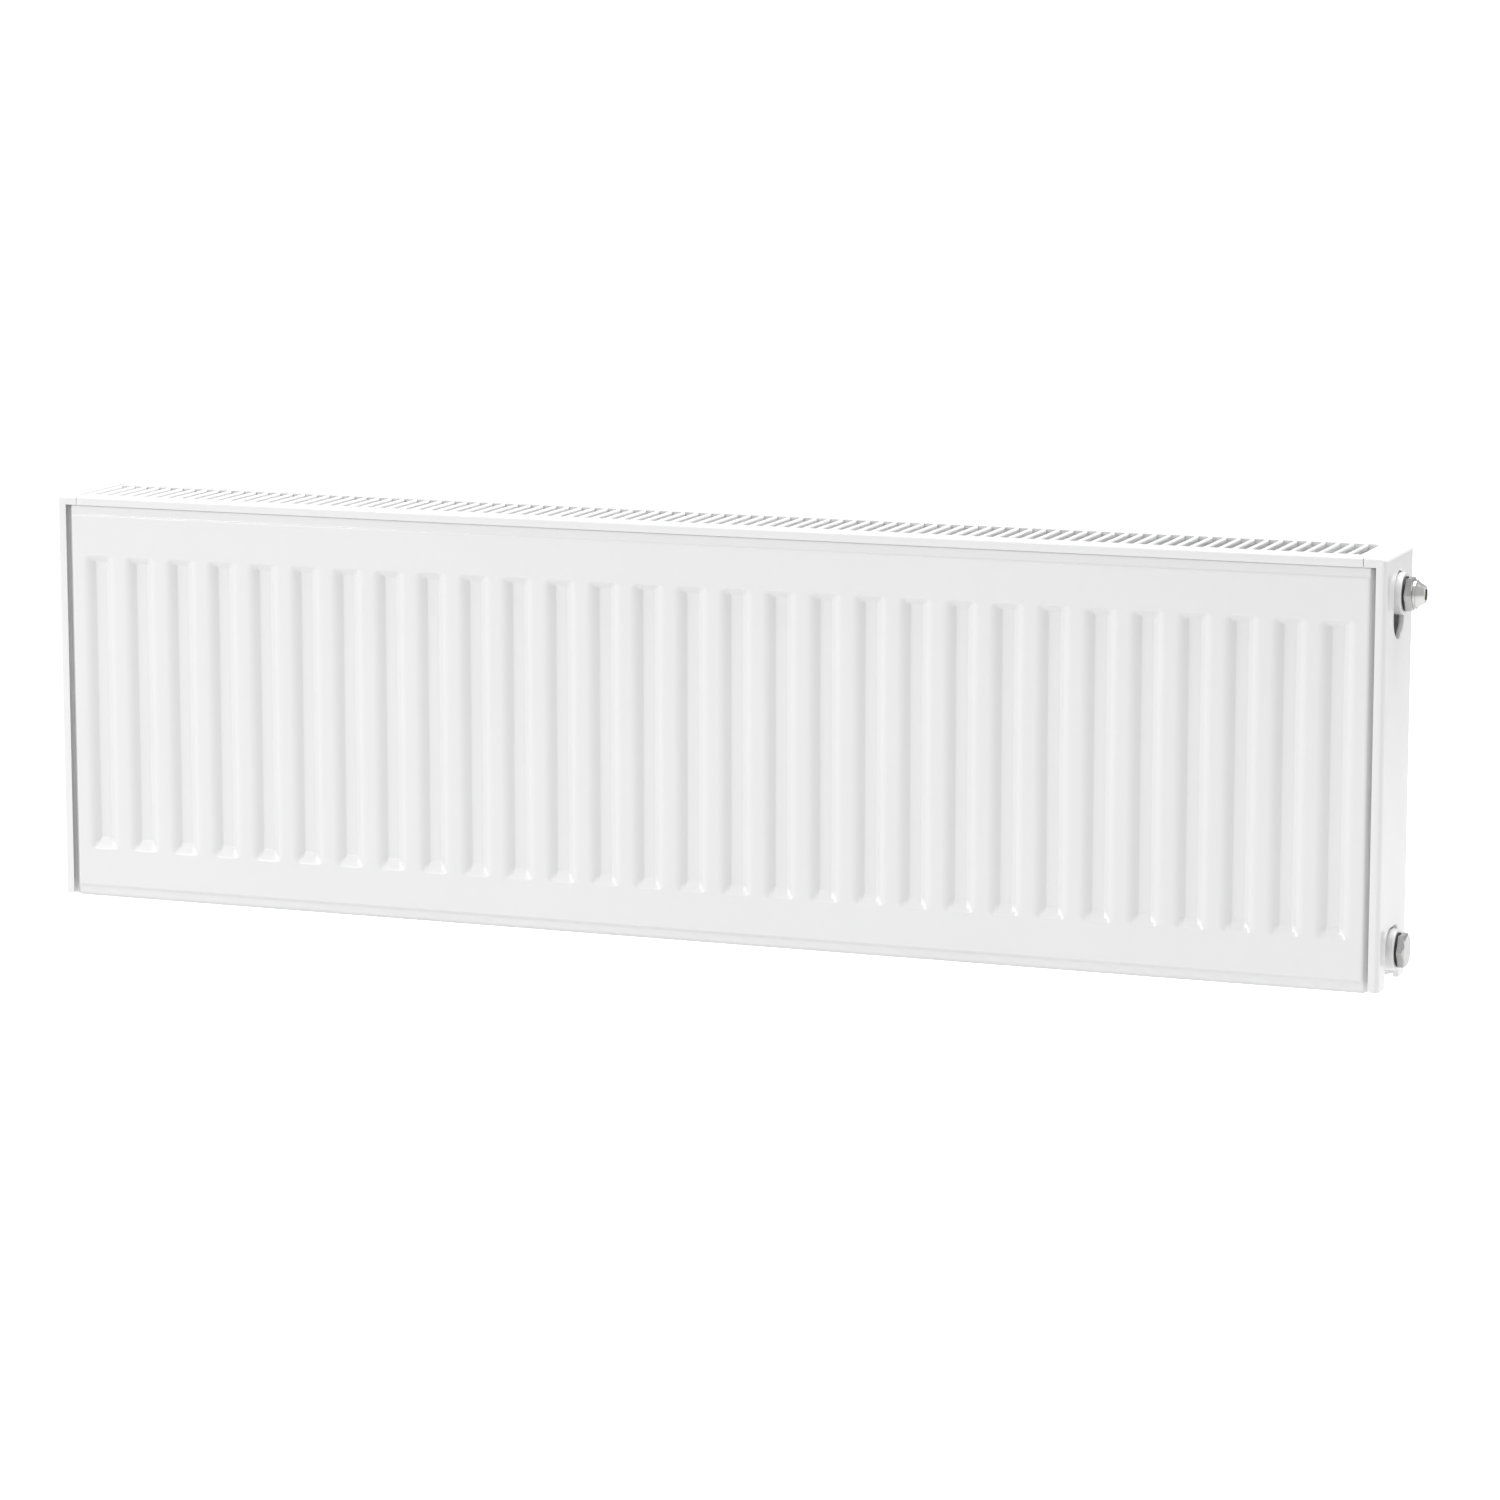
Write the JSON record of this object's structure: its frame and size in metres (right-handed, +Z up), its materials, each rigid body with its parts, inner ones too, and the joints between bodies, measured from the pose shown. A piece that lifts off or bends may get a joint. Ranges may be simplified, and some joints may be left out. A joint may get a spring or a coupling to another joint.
{
  "type": "panel radiator",
  "caption": "Compact wall-hung steel panel radiator with grooved water panels, a fin convector, a slotted lift-off top grille, clip-on side covers, a swivel air vent and a blank plug.",
  "frame": {"origin": "centre of the four hanging-lug slots, on the lugs' wall-side plane; this is the middle of the radiator's length and height", "axes": "+X to the right seen from the room, along the length; +Y from the radiator to the wall; +Z up"},
  "size_m": [1.0221, 0.0878, 0.3],
  "materials": {
    "white_enamel": "semi-gloss white powder coat on steel",
    "primer_grey_white": "thin matt white coat on folded steel sheet",
    "nickel_plate": "turned nickel plate",
    "brass": "plain machined brass",
    "spring_steel": "bright spring steel",
    "black_rubber": "matt black rubber"
  },
  "bodies": {
    "radiator_body": {"front_panel_face": "white_enamel", "front_panel_back": "white_enamel", "rear_panel_face": "white_enamel", "rear_panel_back": "white_enamel", "convector": "primer_grey_white", "tee_top_left": "white_enamel", "tee_top_right": "white_enamel", "tee_bottom_left": "white_enamel", "tee_bottom_right": "white_enamel", "vent_plug": "nickel_plate", "vent_plug_o_ring": "black_rubber", "blank_plug": "nickel_plate", "blank_plug_o_ring": "black_rubber", "upper_lug_left": "white_enamel", "upper_lug_right": "white_enamel", "lower_lug_left": "white_enamel", "lower_lug_right": "white_enamel"},
    "grille": {"top_grille": "white_enamel", "grille_clips": "spring_steel"},
    "cover_left": {"side_cover_left": "white_enamel"},
    "cover_right": {"side_cover_right": "white_enamel"},
    "nozzle": {"vent_nozzle": "nickel_plate"},
    "screw": {"bleed_screw": "brass"}
  },
  "joints": [
    {"name": "grille_lift", "type": "slide", "parent": "radiator_body", "child": "grille", "axis": [0, 0, 1], "range_m": [0, 0.06]},
    {"name": "cover_left_lift", "type": "slide", "parent": "radiator_body", "child": "cover_left", "axis": [0, 0, 1], "range_m": [0, 0.015]},
    {"name": "cover_right_lift", "type": "slide", "parent": "radiator_body", "child": "cover_right", "axis": [0, 0, 1], "range_m": [0, 0.015]},
    {"name": "nozzle_swivel", "type": "hinge", "parent": "radiator_body", "child": "nozzle", "pos_m": [0.5145, -0.0495, 0.121], "axis": [1, 0, 0], "continuous": true},
    {"name": "bleed_screw_turn", "type": "hinge", "parent": "radiator_body", "child": "screw", "pos_m": [0.5075, -0.0495, 0.121], "axis": [1, 0, 0], "range_deg": [0, 540]}
  ]
}
